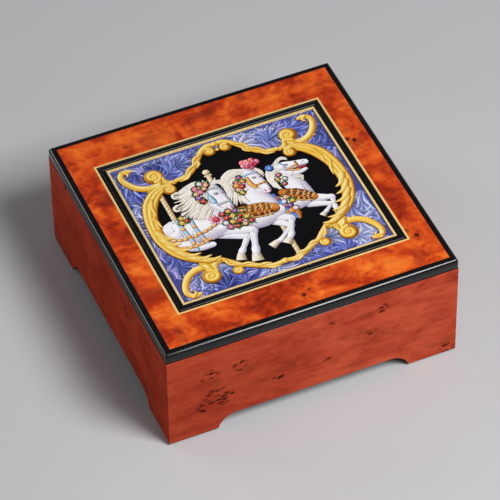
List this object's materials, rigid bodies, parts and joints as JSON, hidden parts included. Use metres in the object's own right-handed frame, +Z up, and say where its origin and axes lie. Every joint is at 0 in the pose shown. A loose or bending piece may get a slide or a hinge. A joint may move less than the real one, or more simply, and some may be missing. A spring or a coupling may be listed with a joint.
{
  "type": "musical jewellery box",
  "caption": "Square lacquered burl-veneer box on bracket feet, with a hinged picture lid, lined wells, ring rolls, and a key-wound cylinder music movement that starts as the lid opens.",
  "frame": {"origin": "middle of the whole box's footprint, hinge knuckles included, at table height", "axes": "+Z up, -Y towards the front, +Y towards the hinges, +X to the viewer's right"},
  "size_m": [0.178, 0.1818, 0.075],
  "materials": {
    "burl_veneer": "high-gloss lacquered orange-red burl veneer",
    "black_lacquer": "black piano lacquer, rounded corners",
    "cream_inlay": "pale boxwood line, lacquered flush",
    "picture": "lacquered marquetry-style picture of carousel horses in a gilt border on black",
    "floor_board": "plain brown board, matt",
    "velvet": "burgundy velvet",
    "black_felt": "felt",
    "clear_window": "clear acrylic sheet",
    "mirror": "silvered glass",
    "brass": "polished brass",
    "steel": "ground steel",
    "cast_zinc": "die-cast metal, satin"
  },
  "bodies": {
    "case": {"front_wall": "burl_veneer", "right_wall": "burl_veneer", "back_wall": "burl_veneer", "left_wall": "burl_veneer", "window_frame": "black_lacquer", "floor_panel": "floor_board", "cross_divider": "velvet", "movement_divider": "velvet", "well_divider": "velvet", "well_floor_pad": "velvet", "wall_lining": "velvet", "ring_roll_1": "velvet", "ring_roll_2": "velvet", "ring_roll_3": "velvet", "foot_felt_front_left": "black_felt", "foot_felt_front_right": "black_felt", "foot_felt_back_right": "black_felt", "foot_felt_back_left": "black_felt", "movement_window": "clear_window", "hinge_case_leaf_left": "brass", "hinge_case_leaf_right": "brass", "hinge_pin_left": "brass", "hinge_pin_right": "brass", "barrel_bridge": "brass", "governor_bracket": "brass", "comb": "steel", "comb_screw_1": "steel", "comb_screw_2": "steel", "movement_screw_1": "steel", "movement_screw_2": "steel", "click": "steel", "bedplate": "cast_zinc"},
    "lid": {"lid_panel": "burl_veneer", "lid_edge_front": "black_lacquer", "lid_edge_right": "black_lacquer", "lid_edge_back": "black_lacquer", "lid_edge_left": "black_lacquer", "outer_line_inlay": "cream_inlay", "picture_frame": "black_lacquer", "inner_line_inlay": "cream_inlay", "picture_plate": "picture", "lid_mirror": "mirror", "lid_lining": "velvet", "hinge_lid_leaf_left": "brass", "hinge_lid_leaf_right": "brass"},
    "spring_drive": {"great_wheel": "brass", "spring_barrel": "brass", "mainspring": "steel"},
    "key": {"winding_arbor": "steel", "ratchet_wheel": "steel", "winding_key": "brass"},
    "pinned_cylinder": {"cylinder_arbor": "steel", "cylinder": "brass", "cylinder_gear": "brass"},
    "governor": {"governor_wheel": "brass"},
    "air_brake": {"worm": "steel", "fan": "brass"},
    "stop": {"stop_rod": "steel"}
  },
  "joints": [
    {"name": "lid_hinge", "type": "hinge", "parent": "case", "child": "lid", "pos_m": [0, 0.08918, 0.06825], "axis": [-1, 0, 0], "range_deg": [0, 100]},
    {"name": "stop_rod_lift", "type": "slide", "parent": "case", "child": "stop", "axis": [0, 0, 1], "range_m": [0, 0.003]},
    {"name": "play_spin", "type": "hinge", "parent": "case", "child": "spring_drive", "pos_m": [-0.064, 0.04208, 0.0335], "axis": [0, 0, 1], "continuous": true},
    {"name": "cylinder_spin", "type": "hinge", "parent": "case", "child": "pinned_cylinder", "pos_m": [-0.04, 0.04208, 0.0335], "axis": [1, 0, 0], "continuous": true},
    {"name": "governor_spin", "type": "hinge", "parent": "case", "child": "governor", "pos_m": [-0.026, 0.05008, 0.0335], "axis": [1, 0, 0], "continuous": true},
    {"name": "fan_spin", "type": "hinge", "parent": "case", "child": "air_brake", "pos_m": [-0.0248, 0.05688, 0.038], "axis": [0, 0, 1], "continuous": true},
    {"name": "key_wind", "type": "hinge", "parent": "case", "child": "key", "pos_m": [-0.064, 0.04208, 0.012], "axis": [0, 0, 1], "continuous": true}
  ],
  "couplings": [
    {"joint": "stop_rod_lift", "follows": "lid_hinge", "m_per_rad": 0.00171},
    {"joint": "cylinder_spin", "follows": "play_spin", "ratio": 3},
    {"joint": "governor_spin", "follows": "play_spin", "ratio": -9},
    {"joint": "fan_spin", "follows": "play_spin", "ratio": 180}
  ]
}
